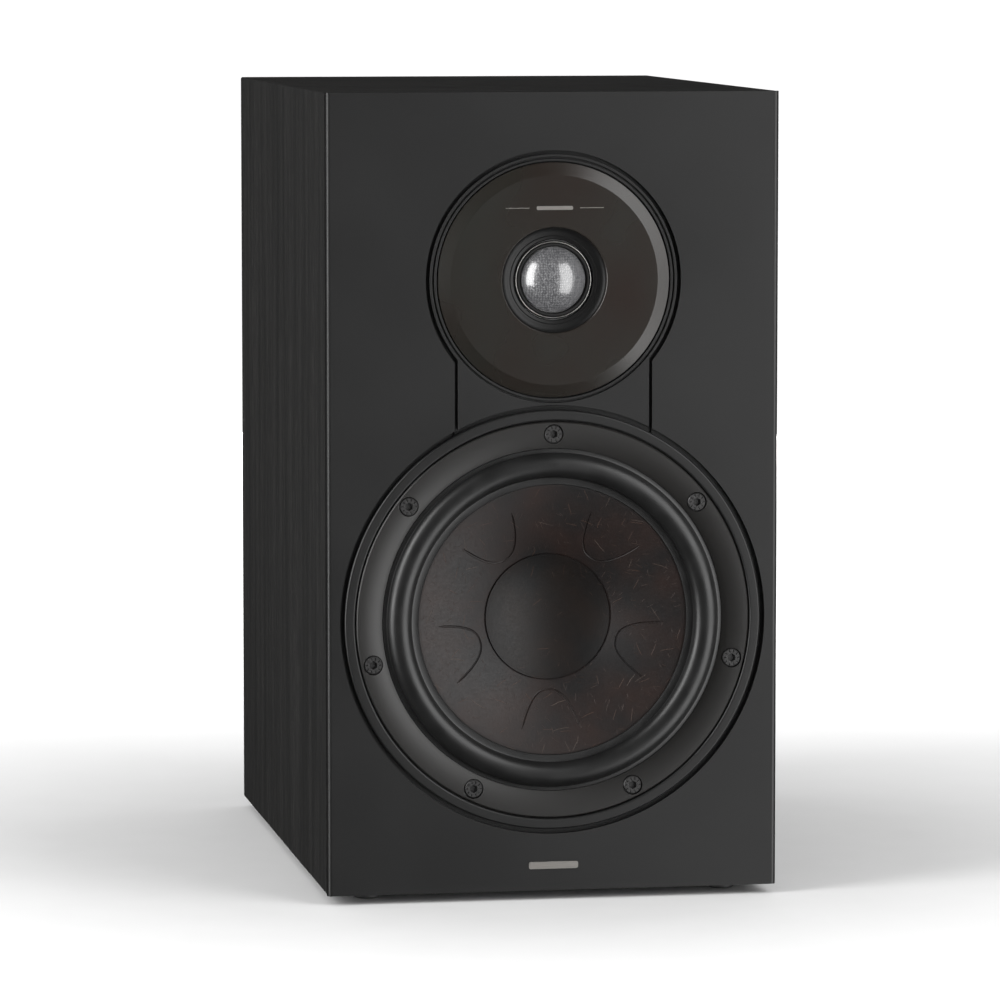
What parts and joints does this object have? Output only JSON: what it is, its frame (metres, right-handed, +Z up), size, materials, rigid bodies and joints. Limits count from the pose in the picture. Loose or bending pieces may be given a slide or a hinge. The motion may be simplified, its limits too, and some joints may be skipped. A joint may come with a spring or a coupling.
{
  "type": "bookshelf speaker",
  "caption": "Two-way bookshelf speaker: black wooden box with a paper-cone bass driver, soft-dome tweeter, rear port and screw-down binding posts.",
  "frame": {"origin": "on the floor, at the bottom centre of the whole object's box, feet and posts included", "axes": "+Z up, -Y out of the front baffle, +X to the right seen from the front"},
  "size_m": [0.2, 0.3074, 0.3543],
  "materials": {
    "ash_vinyl": "black ash grain vinyl wrapped over 15 mm fibreboard, fine upright grain, satin",
    "baffle_paint": "fibreboard with a fine-grained dark grey satin lacquer",
    "bare_fibreboard": "bare sawn fibreboard",
    "wadding_felt": "white polyester wadding",
    "foot_rubber": "matt black rubber",
    "frame_plastic": "dark grey moulded plastic, satin",
    "black_steel": "black oxide steel, hexagon socket",
    "surround_rubber": "black butyl rubber, satin",
    "spider_cloth": "resin-treated woven cotton",
    "cone_paper": "dark pulp with pale fibres, lightly coated",
    "dome_cloth": "coated woven cloth, satin grey",
    "copper_wire": "enamelled copper wire",
    "plated_steel": "zinc plated steel",
    "ferrite": "dark sintered ferrite",
    "black_plastic": "black moulded ABS",
    "gold_plate": "gold plated brass",
    "red_plastic": "red moulded plastic",
    "board_laminate": "green glass-fibre laminate",
    "capacitor_film": "wrapped film capacitor",
    "ceramic_body": "cement-filled ceramic case",
    "lead_red": "red insulated wire",
    "lead_black": "black insulated wire"
  },
  "bodies": {
    "root": {"left_side_panel": "ash_vinyl", "right_side_panel": "ash_vinyl", "top_panel": "ash_vinyl", "bottom_panel": "ash_vinyl", "rear_panel": "ash_vinyl", "front_baffle": "baffle_paint", "tweeter_bezel": "baffle_paint", "window_brace": "bare_fibreboard", "acoustic_wadding": "wadding_felt", "foot_front_left": "foot_rubber", "foot_front_right": "foot_rubber", "foot_rear_right": "foot_rubber", "foot_rear_left": "foot_rubber", "woofer_trim_ring": "baffle_paint", "woofer_frame": "frame_plastic", "woofer_screw_1": "black_steel", "woofer_screw_2": "black_steel", "woofer_screw_3": "black_steel", "woofer_screw_4": "black_steel", "woofer_screw_5": "black_steel", "woofer_screw_6": "black_steel", "woofer_screw_7": "black_steel", "woofer_surround": "surround_rubber", "woofer_spider": "spider_cloth", "woofer_top_plate": "plated_steel", "woofer_magnet": "ferrite", "woofer_yoke": "plated_steel", "woofer_terminal_block": "black_plastic", "tweeter_faceplate": "frame_plastic", "tweeter_surround": "surround_rubber", "tweeter_top_plate": "plated_steel", "tweeter_magnet": "ferrite", "tweeter_yoke": "plated_steel", "port_tube": "black_plastic", "terminal_cup": "black_plastic", "terminal_screw_1": "black_steel", "terminal_screw_2": "black_steel", "terminal_screw_3": "black_steel", "terminal_screw_4": "black_steel", "red_post": "gold_plate", "black_post": "gold_plate", "crossover_board": "board_laminate", "woofer_inductor": "copper_wire", "tweeter_inductor": "copper_wire", "capacitor_large": "capacitor_film", "capacitor_small": "capacitor_film", "power_resistor": "ceramic_body", "woofer_lead": "lead_red", "tweeter_lead": "lead_black", "input_lead_red": "lead_red", "input_lead_black": "lead_black"},
    "woofer_moving": {"woofer_cone": "cone_paper", "woofer_dust_cap": "cone_paper", "woofer_voice_coil": "copper_wire"},
    "tweeter_moving": {"tweeter_dome": "dome_cloth", "tweeter_voice_coil": "copper_wire"},
    "red_washer": {"red_washer": "gold_plate"},
    "red_knob": {"red_knob": "red_plastic"},
    "black_washer": {"black_washer": "gold_plate"},
    "black_knob": {"black_knob": "black_plastic"}
  },
  "joints": [
    {"name": "woofer_excursion", "type": "slide", "parent": "root", "child": "woofer_moving", "axis": [0, -1, 0], "range_m": [-0.005, 0.005], "stiffness_N_per_m": 1500, "deforming": ["woofer_surround", "woofer_spider"]},
    {"name": "tweeter_excursion", "type": "slide", "parent": "root", "child": "tweeter_moving", "axis": [0, -1, 0], "range_m": [-0.0005, 0.0005], "stiffness_N_per_m": 800, "deforming": ["tweeter_surround"]},
    {"name": "red_washer_travel", "type": "slide", "parent": "root", "child": "red_washer", "axis": [0, 1, 0], "range_m": [0, 0.0032]},
    {"name": "red_knob_turn", "type": "hinge", "parent": "red_washer", "child": "red_knob", "pos_m": [0.016, 0.14505, 0.0993], "axis": [0, 1, 0], "range_deg": [0, 1440]},
    {"name": "black_washer_travel", "type": "slide", "parent": "root", "child": "black_washer", "axis": [0, 1, 0], "range_m": [0, 0.0032]},
    {"name": "black_knob_turn", "type": "hinge", "parent": "black_washer", "child": "black_knob", "pos_m": [-0.016, 0.14505, 0.0993], "axis": [0, 1, 0], "range_deg": [0, 1440]}
  ],
  "couplings": [
    {"joint": "red_knob_turn", "follows": "red_washer_travel", "rad_per_m": 7854},
    {"joint": "black_knob_turn", "follows": "black_washer_travel", "rad_per_m": 7854}
  ]
}
